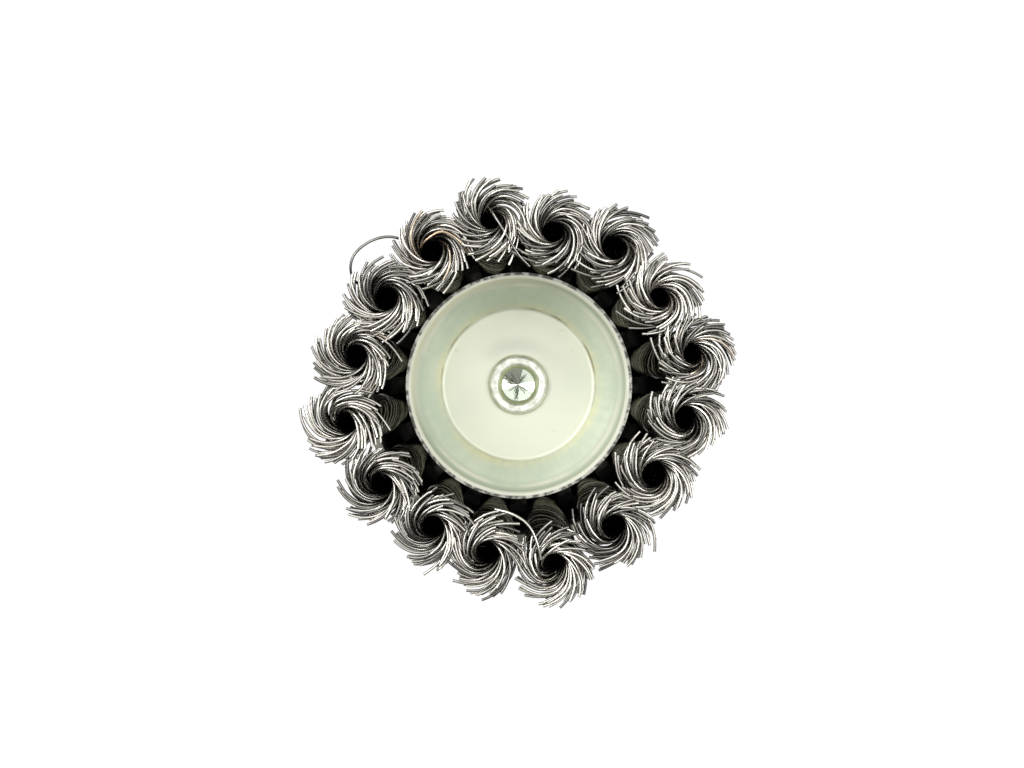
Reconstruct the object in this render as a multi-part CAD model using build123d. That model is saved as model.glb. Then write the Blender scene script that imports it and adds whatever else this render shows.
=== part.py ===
from build123d import *
from math import ceil, cos, radians, sin, sqrt, tan
import os

# The origin is the middle of the nut's free end face, and +Z runs to the wire tips.
# All sizes are in millimetres and all angles in degrees.

# Arbor nut: a hexagon with a blind M14 x 2 thread, riveted over in front of the inner cup
thread_size = 14.0
thread_pitch = 2.0
thread_end_wall = 4.5
drill_point = 118.0
bore_chamfer = 0.9
nut_across_flats = 22.0
nut_height = 20.0
nut_face_margin = 0.6
nut_chamfer_angle = 30.0
neck_across_flats = 15.0
spigot_radius = 4.3
lip_outset = 1.05
lip_width = 1.7
lip_height = 1.5
lip_rounding = 0.6
recess_taper = 0.6
recess_depth = 2.1
recess_cone = 130.0

# Sheet thicknesses and fits
outer_sheet = 1.5
plate_sheet = 1.5
inner_sheet = 0.85
drive_fit = 0.1
spigot_fit = 0.05
neck_relief = 0.1

# Outer cup: a boss round the nut, a channel for the loops and a wall to the mouth
nut_gap = 0.5
boss_slope = 1.2
boss_bend = 0.5
channel_bend = 1.0
corner_bend = 3.0
wall_height = 12.0
mouth_gap = 0.7

# Wire knots: a loop under the plate, a twisted shank and a flared end
knot_count = 16
leg_diameter = 3.2
leg_fit = 0.2
web_width = 1.5
loop_lift = 0.1
loop_fit = 0.1
channel_gap = 1.3
wall_gap = 0.2
shank_radius = 2.85
plate_gap = 0.15
crotch_height = 4.5
crotch_half_width = 1.9
knot_length = 35.0
knot_splay = 5.75
rim_gap = 0.1
flare_height = 13.0
flare_reach = 7.7
flare_gap = 0.2
flare_curve = 1.6
flare_edge_drop = 1.4
funnel_radius = 2.1
funnel_depth = 9.0
funnel_mouth = 0.8
funnel_curve = 2.2
strand_count = 7
strand_groove = 0.16
twist_length = 24.0
rings_per_turn = 10
flare_steps = 5
funnel_steps = 4
loop_bends = 4

# Inner cup: a flat floor, a sloping wall, a step outwards and an upright rim
floor_gap = 2.25
inner_wall_run = 4.0
inner_depth = 11.0
rim_step = 1.55
rim_step_height = 1.3
rim_band = 1.3
floor_bend = 1.0
shoulder_bend = 0.75
rim_bend = 0.8

# Heights of the stack, from the nut's free end
plate_bottom = nut_height + outer_sheet
plate_top = plate_bottom + plate_sheet
floor_top = plate_top + inner_sheet
rim_top = floor_top + inner_depth
lip_top = floor_top + lip_height
thread_length = nut_height - thread_end_wall
tip_height = plate_top + knot_length

# Radii, worked outwards from the nut
thread_radius = thread_size / 2 - 0.5413 * thread_pitch
nut_corner_radius = nut_across_flats / sqrt(3)
boss_radius = nut_corner_radius + nut_gap + outer_sheet
leg_radius = leg_diameter / 2
hole_circle = boss_radius + boss_slope + channel_gap + leg_radius
hole_radius = leg_radius + leg_fit
leg_spacing = hole_radius + web_width + leg_fit + leg_radius
root_centre = hole_circle + leg_spacing / 2
plate_radius = hole_circle + hole_radius + web_width
lip_radius = spigot_radius + lip_outset
recess_mouth_radius = lip_radius - lip_width
recess_foot_radius = recess_mouth_radius - recess_taper
floor_radius = hole_circle - leg_radius - floor_gap - inner_sheet
wall_top_radius = floor_radius + inner_wall_run
rim_radius = wall_top_radius + rim_step
rim_centre = rim_radius + inner_sheet + rim_gap + shank_radius
tip_centre = rim_centre + knot_splay

# Heights that the knots and the cups share
knot_start = plate_top + plate_gap
rim_contact = rim_top - rim_band
flare_start = tip_height - flare_height
loop_centre = plate_bottom + loop_lift
loop_reach = leg_spacing / 2 + leg_radius
channel_floor = loop_centre - loop_reach - loop_fit
mouth_height = plate_bottom + wall_height
half_pitch = 180 / knot_count


def revolved(points):
    """A solid turned from a closed outline of (radius, height) points."""
    return revolve(Plane.XZ * make_face(Polyline(*points, close=True)), Axis.Z)


def hexagon_bar(across_flats, bottom, top):
    """A hexagonal bar on the axis, with two flats square to Y."""
    outline = RegularPolygon(across_flats / 2, 6, major_radius=False)
    return Pos(0, 0, bottom) * extrude(outline, top - bottom)


def bent_sheet(points, bends, sheet):
    """A round pressing of even thickness, whose inner face follows the points."""
    inner_face = FilletPolyline(*points, radius=bends)
    section = offset(inner_face, sheet, side=Side.RIGHT)
    return revolve(Plane.XZ * make_face(section), Axis.Z)


def nut_body():
    """The hexagon, with the corners of its free end chamfered to a round face."""
    face_radius = nut_across_flats / 2 - nut_face_margin
    corner_drop = (nut_corner_radius - face_radius) * tan(radians(nut_chamfer_angle))
    envelope = revolved([
        (0, 0),
        (face_radius, 0),
        (nut_corner_radius, corner_drop),
        (nut_corner_radius, nut_height),
        (0, nut_height),
    ])
    return hexagon_bar(nut_across_flats, 0, nut_height) & envelope


def thread_bore():
    """The blind bore at the thread's inner diameter, with a chamfered mouth and a drill point."""
    point_depth = thread_radius / tan(radians(drill_point / 2))
    return revolved([
        (0, 0),
        (thread_radius + bore_chamfer, 0),
        (thread_radius, bore_chamfer),
        (thread_radius, thread_length),
        (0, thread_length + point_depth),
    ])


def rolled_spigot():
    """The spigot through the inner cup, rolled outwards onto its floor round a shallow recess."""
    recess_foot = lip_top - recess_depth
    cone_depth = recess_foot_radius / tan(radians(recess_cone / 2))
    outline = make_face(Polyline(
        (0, plate_bottom),
        (spigot_radius, plate_bottom),
        (spigot_radius, floor_top),
        (lip_radius, floor_top),
        (lip_radius, lip_top),
        (recess_mouth_radius, lip_top),
        (recess_foot_radius, recess_foot),
        (0, recess_foot - cone_depth),
        close=True,
    ))
    top_corners = outline.vertices().sort_by(Axis.Y)[-2:]
    outline = fillet(top_corners, min(lip_rounding, 0.45 * lip_width))
    return revolve(Plane.XZ * outline, Axis.Z)


def arbor_nut():
    """The threaded nut, its hexagonal neck and its rolled front end, in one piece."""
    neck = hexagon_bar(neck_across_flats, nut_height, plate_top - neck_relief)
    return nut_body() + neck + rolled_spigot() - thread_bore()


def drive_hole(bottom, top):
    """The hexagonal hole that locks a pressing to the nut's neck."""
    return hexagon_bar(neck_across_flats + 2 * drive_fit, bottom, top)


def outer_cup():
    """The outer cup, with a boss on the nut, a channel for the loops and a flared wall."""
    channel_inside = boss_radius + boss_slope
    channel_outside = root_centre + loop_reach + wall_gap
    mouth_radius = knot_centre(mouth_height) + shank_radius + mouth_gap
    points = [
        (spigot_radius, plate_bottom),
        (boss_radius, plate_bottom),
        (channel_inside, channel_floor),
        (channel_outside, channel_floor),
        (mouth_radius, mouth_height),
    ]
    bends = [boss_bend + outer_sheet, channel_bend, corner_bend]
    return bent_sheet(points, bends, outer_sheet) - drive_hole(0, plate_top)


def knot_plate():
    """The flat plate that carries the knots, each looped over the web outside its hole."""
    plate = Pos(0, 0, plate_bottom) * extrude(Circle(plate_radius), plate_sheet)
    hole = Pos(0, 0, plate_bottom) * extrude(Circle(hole_radius), plate_sheet)
    holes = PolarLocations(hole_circle, knot_count, start_angle=half_pitch) * hole
    return plate - holes - drive_hole(plate_bottom, plate_top)


def inner_cup():
    """The bright cup inside the ring of knots, held by the rolled end of the nut."""
    points = [
        (spigot_radius + spigot_fit, floor_top),
        (floor_radius, floor_top),
        (wall_top_radius, rim_contact - rim_step_height),
        (rim_radius, rim_contact),
        (rim_radius, rim_top),
    ]
    bends = [floor_bend, shoulder_bend + inner_sheet, rim_bend]
    return bent_sheet(points, bends, inner_sheet)


def knot_centre(height):
    """How far a knot's middle is from the brush axis, on a bow through root, rim and tip."""
    lower_lean = (rim_centre - root_centre) / (rim_contact - knot_start)
    upper_lean = (tip_centre - rim_centre) / (tip_height - rim_contact)
    bow = (upper_lean - lower_lean) / (tip_height - knot_start)
    return root_centre + (height - knot_start) * (lower_lean + bow * (height - rim_contact))


def flare_half_width():
    """Half a flare's width across, so that neighbours stand just clear of each other."""
    room = tip_centre * sin(radians(half_pitch)) - flare_gap
    return sqrt(room**2 - (flare_reach * sin(radians(half_pitch)))**2) / cos(radians(half_pitch))


def strand_ring(height, reach, half_width):
    """Points round a knot at one height: a crest and a groove for each strand.

    The strands turn clockwise on their way up, as seen from the wire tips.
    """
    ring = []
    for i in range(2 * strand_count):
        turn = radians(180 * i / strand_count - 360 * (height - knot_start) / twist_length)
        size = 1 - strand_groove * (i % 2)
        ring.append((
            knot_centre(height) + reach * size * cos(turn),
            half_width * size * sin(turn),
            height,
        ))
    return ring


def shank_rings():
    """Rings from the oval over both legs up to the foot of the flare."""
    rings = []
    steps = ceil(rings_per_turn * (flare_start - knot_start) / twist_length)
    for k in range(steps):
        height = knot_start + (flare_start - knot_start) * k / steps
        spread = max(0, 1 - (height - knot_start) / crotch_height)**2
        reach = shank_radius + (loop_reach - shank_radius) * spread
        half_width = shank_radius + (crotch_half_width - shank_radius) * spread
        rings.append(strand_ring(height, reach, half_width))
    return rings


def flare_rings():
    """Rings up the outside of the flare to its edge."""
    rings = []
    across = flare_half_width()
    for k in range(flare_steps + 1):
        share = k / flare_steps
        height = flare_start + (flare_height - flare_edge_drop) * share
        reach = shank_radius + (flare_reach - shank_radius) * share**flare_curve
        half_width = shank_radius + (across - shank_radius) * share**flare_curve
        rings.append(strand_ring(height, reach, half_width))
    return rings


def funnel_rings():
    """Rings from the crest of the flare down to the bottom of the funnel in its middle."""
    rings = []
    across = flare_half_width()
    for k in range(funnel_steps + 1):
        share = k / funnel_steps
        depth = funnel_depth * share**1.5
        opening = funnel_mouth * (1 - share)**funnel_curve
        neck = funnel_radius * (1 - share / 2)
        reach = neck + (flare_reach - neck) * opening
        half_width = neck + (across - neck) * opening
        rings.append(strand_ring(tip_height - depth, reach, half_width))
    return rings


def facet(*corners):
    """A flat face between corner points."""
    return Face(Wire.make_polygon(corners))


def faceted_loft(rings):
    """A loft over rings of matching points, in flat facets, closed at both ends."""
    facets = [facet(*rings[0]), facet(*rings[-1])]
    for lower, upper in zip(rings, rings[1:]):
        for i in range(len(lower)):
            j = (i + 1) % len(lower)
            facets.append(facet(lower[i], lower[j], upper[j]))
            facets.append(facet(lower[i], upper[j], upper[i]))
    return Solid(Shell(facets))


def knot_loop():
    """The loop of wire round the web, with one leg through the hole and one outside the edge."""
    half = leg_spacing / 2
    leg_top = knot_start + crotch_height / 2
    corners = [(half, leg_top)]
    for k in range(loop_bends + 1):
        angle = radians(180 * k / loop_bends)
        corners.append((half * cos(angle), loop_centre - half * sin(angle)))
    corners.append((-half, leg_top))
    route = Polyline(*[(root_centre + x, 0, z) for x, z in corners])
    bundle = Plane(route @ 0, z_dir=route % 0) * RegularPolygon(leg_radius, 8, rotation=22.5)
    return sweep(bundle, path=route, transition=Transition.RIGHT)


def wire_knot():
    """One knot, standing on the +X axis."""
    twisted = faceted_loft(shank_rings() + flare_rings() + funnel_rings())
    return twisted + knot_loop()


if __name__ == "__main__":
    os.makedirs("parts", exist_ok=True)
    export_step(arbor_nut(), "parts/arbor_nut.step")
    export_step(outer_cup(), "parts/outer_cup.step")
    export_step(knot_plate(), "parts/knot_plate.step")
    export_step(inner_cup(), "parts/inner_cup.step")
    knot = wire_knot()
    for k in range(knot_count):
        turned = Rot(0, 0, half_pitch * (2 * k + 1)) * knot
        export_step(turned, f"parts/wire_knot_{k + 1:02d}.step")
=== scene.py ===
# %% [markdown]
# # A knotted wire cup brush
#
# The brush stands on the free end of its arbor nut, with the wires up, and the camera looks
# straight down on it. Sixteen knots of twisted steel wire stand in a ring round a bright inner
# cup. The pressings and the nut come from the frame at their real size. This file adds the
# wires, the thread inside the nut, the finishes, the light and the camera.

# %% Load the frame
import math
import random

import bpy
from mathutils import Matrix, Vector


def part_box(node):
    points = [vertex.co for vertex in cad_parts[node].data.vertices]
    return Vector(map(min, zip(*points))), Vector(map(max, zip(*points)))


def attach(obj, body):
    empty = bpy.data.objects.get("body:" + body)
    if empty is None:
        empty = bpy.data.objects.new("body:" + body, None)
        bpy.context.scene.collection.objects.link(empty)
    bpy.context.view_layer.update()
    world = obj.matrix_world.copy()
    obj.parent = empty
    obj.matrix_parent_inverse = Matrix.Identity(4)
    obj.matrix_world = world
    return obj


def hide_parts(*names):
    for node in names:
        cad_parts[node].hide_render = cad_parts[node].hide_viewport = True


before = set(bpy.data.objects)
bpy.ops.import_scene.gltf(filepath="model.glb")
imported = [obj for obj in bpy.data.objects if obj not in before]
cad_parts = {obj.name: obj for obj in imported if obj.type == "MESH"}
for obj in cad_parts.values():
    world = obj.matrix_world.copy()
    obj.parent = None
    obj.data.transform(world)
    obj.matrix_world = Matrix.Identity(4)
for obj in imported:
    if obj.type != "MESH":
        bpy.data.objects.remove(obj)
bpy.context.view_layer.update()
bpy.ops.object.select_all(action="DESELECT")
MM = 0.001
print("pieces in the frame:", len(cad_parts))

# %% [markdown]
# ## Sizes
#
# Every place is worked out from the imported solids, so a piece made here meets them. The plate
# gives the ring in which the knots are rooted, the inner cup gives the rim that they lean on,
# and the tallest corner of a knot gives the height of the wire tips. The values below those
# are the wire's own: its thickness, the size of a leg and the lay of the twist.

# %% Sizes from the frame, in millimetres
plate_low, plate_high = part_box("knot_plate")
_, rim_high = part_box("inner_cup")
_, knot_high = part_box("wire_knot_01")
PLATE_BOTTOM = plate_low.z / MM
PLATE_TOP = plate_high.z / MM
PLATE_RADIUS = plate_high.x / MM
RIM_RADIUS = rim_high.x / MM
RIM_TOP = rim_high.z / MM
TIP_TOP = knot_high.z / MM

KNOTS = 16
WIRE = 0.5
LEG_RADIUS = 1.6
LEG_FIT = 0.2
WEB = 1.5
ROPE_RADIUS = 2.6
TWIST_PITCH = 18.0
FLARE_HEIGHT = 13.5
HALF_LOOP = LEG_RADIUS + LEG_FIT + WEB / 2
ROOT_RADIUS = PLATE_RADIUS - WEB / 2
RIM_KNOT_RADIUS = RIM_RADIUS + ROPE_RADIUS + WIRE / 2
FLARE_START = TIP_TOP - FLARE_HEIGHT
print("knots rooted at", round(ROOT_RADIUS, 2), "mm, tips at", round(TIP_TOP, 2), "mm")

# %% [markdown]
# ## Where each knot ends
#
# Bent by hand and by packing, real knots never stand evenly. Each one here has its own reach,
# given as its distance from the axis, its own turn away from an even spacing in degrees, and
# its own opening. Random values would spread the same amount, but the ring in the photograph
# has its own rhythm, such as two knots that reach out on opposite sides.

# %% The stance of the knots
REACH = (32.3, 30.2, 30.6, 28.6, 31.0, 29.3, 29.0, 30.4,
         32.7, 30.8, 29.9, 30.8, 33.0, 30.4, 28.8, 30.5)
TURN = (0.0, -0.9, 0.0, -0.7, -1.2, -0.8, 0.3, 0.7,
        0.3, 1.3, 1.8, 0.3, -0.2, 0.3, 0.9, 1.0)
OPENING = (1.6, 1.6, 2.0, 1.7, 1.55, 1.9, 1.9, 1.9,
           1.8, 1.9, 1.8, 1.9, 1.85, 1.95, 2.05, 1.9)
SPACING = 360 / KNOTS
print("reach from", min(REACH), "to", max(REACH), "mm")

# %% [markdown]
# ## The bow of a knot
#
# A knot rises from the plate, leans on the rim of the inner cup and ends where its tip was
# measured. A straight line would miss one of the three. A parabola through all of them bows
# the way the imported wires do, and it is one short sum.


# %% The middle of a knot at any height
def ramp(start, end, x):
    """0 before start, 1 after end, and a smooth rise between them."""
    t = min(max((x - start) / (end - start), 0.0), 1.0)
    return t * t * (3 - 2 * t)


def knot_middle(k, height):
    """Distance from the axis and direction of the middle of knot k at a height."""
    a, b, c = PLATE_TOP, RIM_TOP, TIP_TOP
    root = ROOT_RADIUS * (height - b) * (height - c) / ((a - b) * (a - c))
    rim = RIM_KNOT_RADIUS * (height - a) * (height - c) / ((b - a) * (b - c))
    tip = REACH[k] * (height - a) * (height - b) / ((c - a) * (c - b))
    turn = math.radians((k + 0.5) * SPACING + TURN[k] * ramp(RIM_TOP, TIP_TOP, height))
    return root + rim + tip, turn


print("knot 1 at the rim:", round(knot_middle(0, RIM_TOP)[0], 2), "mm from the axis")

# %% [markdown]
# ## The camera
#
# The photograph looks straight down on the wires from about 0.6 m, a little off the middle: the
# cup's floor is shifted against its rim by that much. A long lens keeps the far parts nearly as
# large as the near ones. The lens could be found by trial, but it follows from the size of one
# picture element at the wire tips, which the measured ring gives.

# %% Camera
RING_WIDTH = 75
RING_PIXELS = 430
PICTURE_PIXELS = 1024
SENSOR = 36
DISTANCE = 600
EYE = (-7, 9.5)
AIM = (-1.48, 0.63)

camera_data = bpy.data.cameras.new("photo_camera")
camera = bpy.data.objects.new("photo_camera", camera_data)
bpy.context.scene.collection.objects.link(camera)
camera_data.sensor_width = SENSOR
camera_data.lens = SENSOR * DISTANCE / (PICTURE_PIXELS * (RING_WIDTH / RING_PIXELS))
camera_data.clip_start = 0.01
camera_data.clip_end = 20
eye = Vector((*EYE, TIP_TOP + DISTANCE)) * MM
aim = Vector((*AIM, TIP_TOP)) * MM
backward = (eye - aim).normalized()
right = Vector((0, 1, 0)).cross(backward).normalized()
upward = backward.cross(right)
camera.matrix_world = Matrix((right, upward, backward)).transposed().to_4x4()
camera.location = eye
bpy.context.scene.camera = camera
print("lens", round(camera_data.lens, 1), "mm")

# %% [markdown]
# ## Small helpers for nodes
#
# Finishes and light are trees of nodes, and the same few steps come back in all of them: give
# a socket a number or a link, work out a value, let something rise softly between two limits.
# Nodes can be set one property at a time, but a helper for each step keeps every tree below
# as short as a recipe.


# %% Helpers for values
def feed(tree, socket, value):
    """Give a socket a link, a colour or a plain value."""
    if isinstance(value, bpy.types.NodeSocket):
        tree.links.new(value, socket)
    elif isinstance(value, tuple) and socket.type == "RGBA":
        socket.default_value = value + (1,)
    else:
        socket.default_value = value


def calc(tree, operation, *values):
    """The result of one sum on numbers or links."""
    node = tree.nodes.new("ShaderNodeMath")
    node.operation = operation
    for socket, value in zip(node.inputs, values):
        feed(tree, socket, value)
    return node.outputs[0]


def both(tree, *masks):
    """The part that all the masks share: their product."""
    shared = masks[0]
    for mask in masks[1:]:
        shared = calc(tree, "MULTIPLY", shared, mask)
    return shared


def rise(tree, value, start, end, low=0.0, high=1.0):
    """A smooth change from low to high while the value goes from start to end."""
    node = tree.nodes.new("ShaderNodeMapRange")
    node.interpolation_type = "SMOOTHSTEP"
    for socket, item in zip(node.inputs, (value, start, end, low, high)):
        feed(tree, socket, item)
    return node.outputs[0]


def axes_of(tree, place):
    """The three numbers of a place: to the right, away from the viewer, and up."""
    node = tree.nodes.new("ShaderNodeSeparateXYZ")
    feed(tree, node.inputs[0], place)
    return node.outputs["X"], node.outputs["Y"], node.outputs["Z"]


print("helpers for values ready")

# %% [markdown]
# ## The floor
#
# The brush was photographed on white. A real sheet that is lit until it is white would also
# light the wires strongly from below, and they would lose their dark flanks. So the sheet here
# is a middle grey that glows for the camera alone: it comes out white and lights little.

# %% Floor
SHEET_GREY = (0.5, 0.5, 0.5)
SHEET_GLOW = 1.05
GLOW_SHARE = 0.96

bpy.ops.mesh.primitive_circle_add(vertices=96, radius=4, fill_type="NGON")
floor = bpy.context.object
floor.name = "floor"
white_floor = bpy.data.materials.new("white_floor")
white_floor.use_nodes = True
tree = white_floor.node_tree
tree.nodes.clear()
sheet = tree.nodes.new("ShaderNodeBsdfDiffuse")
feed(tree, sheet.inputs["Color"], SHEET_GREY)
glow = tree.nodes.new("ShaderNodeEmission")
feed(tree, glow.inputs["Strength"], SHEET_GLOW)
seen = tree.nodes.new("ShaderNodeLightPath").outputs["Is Camera Ray"]
mix = tree.nodes.new("ShaderNodeMixShader")
feed(tree, mix.inputs[0], calc(tree, "MULTIPLY", seen, GLOW_SHARE))
feed(tree, mix.inputs[1], sheet.outputs[0])
feed(tree, mix.inputs[2], glow.outputs[0])
out = tree.nodes.new("ShaderNodeOutputMaterial")
feed(tree, out.inputs["Surface"], mix.outputs[0])
floor.data.materials.append(white_floor)
print("floor of", len(floor.data.vertices), "corners")

# %% [markdown]
# ## The lamps
#
# Bright steel shows only what it reflects. One lamp would leave each wire a thin spark, and an
# even sky would leave it flat grey. A few large soft boxes, stronger on the far side, give each
# wire one bright line and dark flanks, as in the photograph.

# %% Soft boxes
LOOK_AT = Vector((0, 0, 0.05))


def soft_box(name, place, size, power):
    """A square area light at a place in metres, turned towards the brush."""
    data = bpy.data.lights.new(name, "AREA")
    data.shape = "SQUARE"
    data.size = size
    data.energy = power
    lamp = bpy.data.objects.new(name, data)
    bpy.context.scene.collection.objects.link(lamp)
    lamp.location = Vector(place)
    lamp.rotation_euler = (LOOK_AT - Vector(place)).to_track_quat("-Z", "Y").to_euler()


soft_box("box_above", (-0.1, 0.25, 1.3), 2.4, 18)
soft_box("box_key", (-0.55, 0.8, 1.0), 0.45, 3.8)
soft_box("box_left", (-0.8, 0.1, 1.0), 0.45, 5)
soft_box("box_right", (0.8, 0.0, 1.0), 0.45, 4)

# %% [markdown]
# ## The room
#
# Round the lamps hangs a white tent, bright overhead and dim at the sides, and a little
# brighter away from the viewer. The dim sides are what darkens the wires' flanks and the cup's
# wall. The camera sees plain white in its place. A picture of a room would give richer
# reflections, but this one follows from five numbers.

# %% Room
TENT_EDGE, TENT_ROOF = 0.45, 0.62
SIDE_LIGHT, ROOF_LIGHT = 0.04, 0.45
FAR_GAIN = 0.6

room = bpy.data.worlds.new("room")
bpy.context.scene.world = room
room.use_nodes = True
tree = room.node_tree
_, sight_away, sight_up = axes_of(tree, tree.nodes.new("ShaderNodeTexCoord").outputs["Generated"])
tent = rise(tree, sight_up, TENT_EDGE, TENT_ROOF, SIDE_LIGHT, ROOF_LIGHT)
tent = both(tree, tent, calc(tree, "MULTIPLY_ADD", sight_away, FAR_GAIN, 1.0))
seen = tree.nodes.new("ShaderNodeLightPath").outputs["Is Camera Ray"]
background = tree.nodes["Background"]
feed(tree, background.inputs["Color"], (1.0, 1.0, 1.0))
feed(tree, background.inputs["Strength"], rise(tree, seen, 0.0, 1.0, tent, 1.0))
bpy.context.scene.view_settings.view_transform = "Standard"
print("world:", room.name)

# %% [markdown]
# ## How the wires of a knot run
#
# A knot is made of 38 wires, each folded once in the middle. They go up through a hole of the
# plate on one side and past its edge on the other, so the plate's web sits in the fold. Above
# the plate the 76 ends are twisted into one rope, and near the tip they spread into a flare
# round an open funnel.
#
# The wires could be one modelled lump with grooves, but every picture of the brush shows them
# as single wires. So each is a curve with the wire's thickness, which costs few points. Wires
# pack in rings round one another, so their places in a leg and in the rope are rings too.

# %% Places of the wires in a leg and in the rope
# Each ring: how many wires it holds and its radius.
LEG_RINGS = ((18, 1.4), (12, 0.93), (7, 0.47), (1, 0.0))
ROPE_RINGS = ((24, 2.6), (20, 2.12), (14, 1.64), (10, 1.16), (6, 0.68), (2, 0.25))

leg_spots = []
for count, radius in LEG_RINGS:
    for i in range(count):
        turn = 2 * math.pi * i / count
        leg_spots.append((radius * math.cos(turn), radius * math.sin(turn)))
rope_spots = []
for count, radius in ROPE_RINGS:
    for i in range(count // 2):
        turn = 2 * math.pi * (i + 0.5) / count - math.pi / 2
        rope_spots.append((radius, turn))
leg_spots.sort(key=lambda spot: spot[1])
rope_spots.sort(key=lambda spot: spot[0] * math.sin(spot[1]))
print("folded wires in a knot:", len(rope_spots), "and", len(leg_spots), "places in a leg")

# %% [markdown]
# ## The fans of the flare
#
# The flare is a stack of five fans: the wires of the innermost fan leave the funnel last and
# lie on top, and those of the outermost one leave it first, reach furthest and lie lowest. In
# one fan all wires run alike, side by side, so they hardly cut through each other. A random
# spread would be less work, but then the wires cross inside each other and their highlights
# break up.

# %% The fans of the flare
# Each fan: folded wires in it, start height and tip height below the top, and its full reach.
FANS = ((7, 3.6, 0.35, 6.6),
        (7, 4.8, 0.95, 7.0),
        (8, 6.0, 1.55, 7.3),
        (8, 7.3, 2.2, 7.55),
        (8, 8.7, 3.0, 7.8))
FAN_STEP = 0.5

by_radius = sorted(range(len(rope_spots)), key=lambda i: rope_spots[i][0])
fan_of = {}
for fan, (half, leave, drop, reach) in enumerate(FANS):
    members = sorted(by_radius[:half], key=lambda i: rope_spots[i][1])
    by_radius = by_radius[half:]
    for n, i in enumerate(members):
        fan_of[i] = (fan, math.pi * (n + 0.5) / half - math.pi / 2)
print("wires in the fans:", [2 * fan[0] for fan in FANS])

# %% [markdown]
# ## From the plate into the rope
#
# The two legs of a knot meet just above the plate and twist round each other, slowly at first.
# In the rope a wire is a plain helix. Below the flare it slides round to the place in its fan,
# so that the fans come out even. A twist made by a modifier would turn the legs too, and it
# could not sort the wires.

# %% A wire in its leg and in the rope
TWIST = 2 * math.pi / TWIST_PITCH
CROTCH_START = PLATE_TOP + 0.15
CROTCH_END = CROTCH_START + 4.5
SORTING_HEIGHT = 8
LOOSER = 0.32
ROPE_STEP = 1.15


def rope_turn(height):
    """How far the rope has turned by a height, slow at first where the legs meet."""
    if height < CROTCH_END:
        return -TWIST * (height - CROTCH_START) ** 2 / (2 * (CROTCH_END - CROTCH_START))
    return -TWIST * (height - (CROTCH_START + CROTCH_END) / 2)


def swell(height):
    """How much looser the rope is at a height than at its root."""
    return 1 + LOOSER * ramp(RIM_TOP - 1, FLARE_START + 2, height)


def rope_path(i, side, middle, leave):
    """Points (across, along, height) of one wire below its flare, and its last direction."""
    radius, first = rope_spots[i]
    leg_across, leg_along = leg_spots[i]
    place = fan_of[i][1]
    if side < 0:
        first = math.pi - first
        place = math.pi - place
    shift = (place - first + math.pi) % (2 * math.pi) - math.pi
    points = []
    height = CROTCH_START
    while height < leave:
        away = ramp(CROTCH_START, CROTCH_END, height)
        sorting = ramp(FLARE_START - SORTING_HEIGHT, leave, height)
        turn = first + rope_turn(height) + shift * sorting
        wide = (radius * swell(height) * (1 - sorting) + middle * sorting) * away
        x = side * (HALF_LOOP + leg_across) * (1 - away) + wide * math.cos(turn)
        y = leg_along * (1 - away) + wide * math.sin(turn)
        points.append((x, y, height))
        height += ROPE_STEP
    return points, first + rope_turn(leave) + shift


print("looser at the flare by", round(swell(FLARE_START + 2) - 1, 2))

# %% [markdown]
# ## Out of the funnel
#
# A wire leaves the edge of the funnel sideways and bends on round it, as the twist has set it,
# until it ends in a cut face. The arcs follow the hole closely at first and open out towards
# their ends. They could all be alike, but a real brush has been through a trimmer: some ends
# are short, some stick out and some cross their neighbours. The shares of such wires are set
# here, and each fan sways in a wave of its own.

# %% How a wire bends
# Least, most and usual turn of a full arc in degrees, and how unlike each other the wires are.
FULL_BEND = (100, 155, 130)
REACH_SPREAD, SLANT_SPREAD, TIP_SPREAD = 0.045, 0.06, 0.06
BEND_SHARE = 0.49
CURL, CURL_SPREAD, CURL_MIDDLE = -1.2, 0.28, 0.4
CLIMB = math.radians(90)
FLARE_STEPS = 26

# The kinds that stand out, each by its share of the wires: the second share counts the first.
STIFF_WIRES, STIFF_REACH, STIFF_BEND = 0.06, (1.0, 1.08), (75, 100)
CROSSING_WIRES, CROSSING_SLANT, CROSSING_BEND, CROSSING_LIFT = 0.18, (0.1, 0.35), 0.92, 0.35
OUTER_STUBS, STUB_BEND = 0.25, (40, 75)
print("bends from", FULL_BEND[0], "to", FULL_BEND[1], "degrees")


# %% A wire in the flare
def arc_of(reach, drop, outermost, chance):
    """One wire's own reach, slant, bend and tip height, drawn at random."""
    slant = chance.gauss(0, SLANT_SPREAD)
    end = math.radians(chance.triangular(*FULL_BEND))
    tip = TIP_TOP - drop + chance.gauss(0, TIP_SPREAD)
    kind = chance.random()
    if kind < STIFF_WIRES:
        reach = reach * chance.uniform(*STIFF_REACH)
        end = math.radians(chance.uniform(*STIFF_BEND))
    elif kind < CROSSING_WIRES:
        slant += chance.uniform(*CROSSING_SLANT)
        end *= CROSSING_BEND
        tip += CROSSING_LIFT
    if outermost and chance.random() < OUTER_STUBS:
        end = math.radians(chance.uniform(*STUB_BEND))
    return reach, slant, end, tip


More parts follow.
